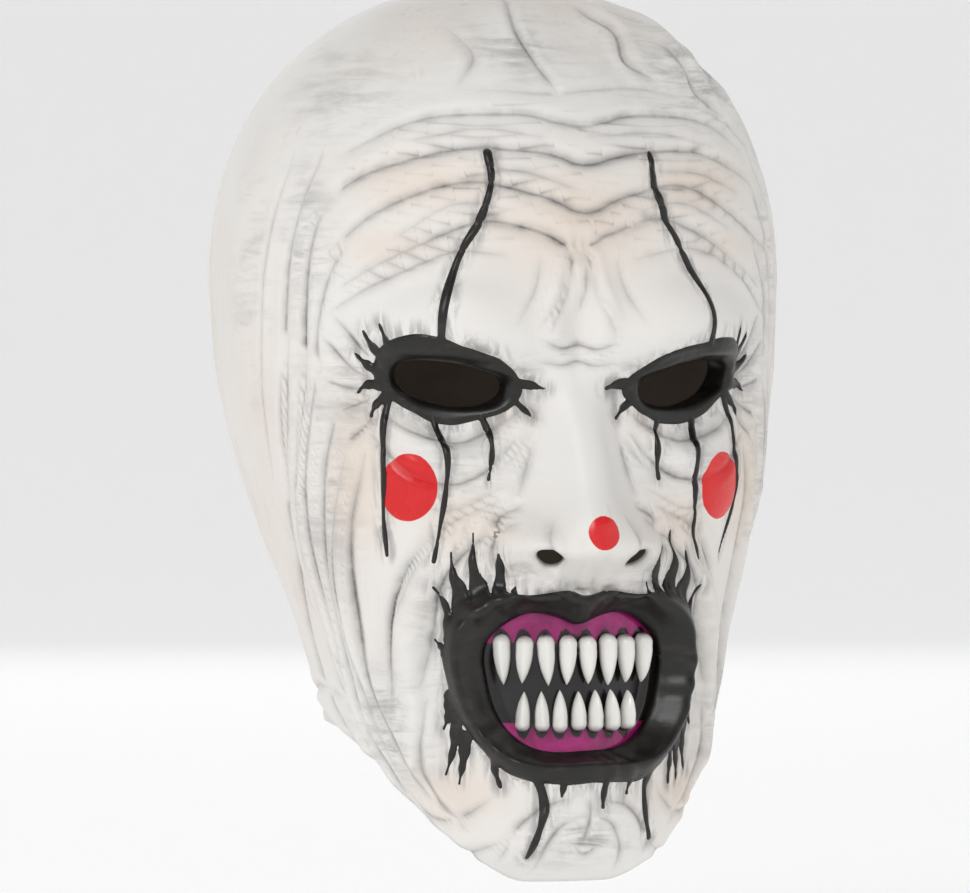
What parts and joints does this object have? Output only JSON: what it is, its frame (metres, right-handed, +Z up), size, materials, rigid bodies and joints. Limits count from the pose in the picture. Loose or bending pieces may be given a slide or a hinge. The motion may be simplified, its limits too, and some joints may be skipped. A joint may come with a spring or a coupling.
{
  "type": "full-head latex clown mask",
  "caption": "Pull-over clown mask: white latex head skin with eye holes, scowling brow, open black-lipped mouth, gum wall and pointed teeth.",
  "frame": {"origin": "inner top of the crown, where the mask sits on a head", "axes": "+Z up along the head, -Y the way the face looks, +X to the right of someone who looks at the face"},
  "size_m": [0.164, 0.2231, 0.26],
  "materials": {
    "white_latex": "satin",
    "magenta_gum": "gloss",
    "tooth_white": "gloss"
  },
  "bodies": {
    "root": {"mask_skin": "white_latex", "gum_panel": "magenta_gum", "upper_tooth_1": "tooth_white", "upper_tooth_2": "tooth_white", "upper_tooth_3": "tooth_white", "upper_tooth_4": "tooth_white", "upper_tooth_5": "tooth_white", "upper_tooth_6": "tooth_white", "upper_tooth_7": "tooth_white", "upper_tooth_8": "tooth_white", "lower_tooth_1": "tooth_white", "lower_tooth_2": "tooth_white", "lower_tooth_3": "tooth_white", "lower_tooth_4": "tooth_white", "lower_tooth_5": "tooth_white", "lower_tooth_6": "tooth_white", "lower_tooth_7": "tooth_white"}
  },
  "joints": []
}
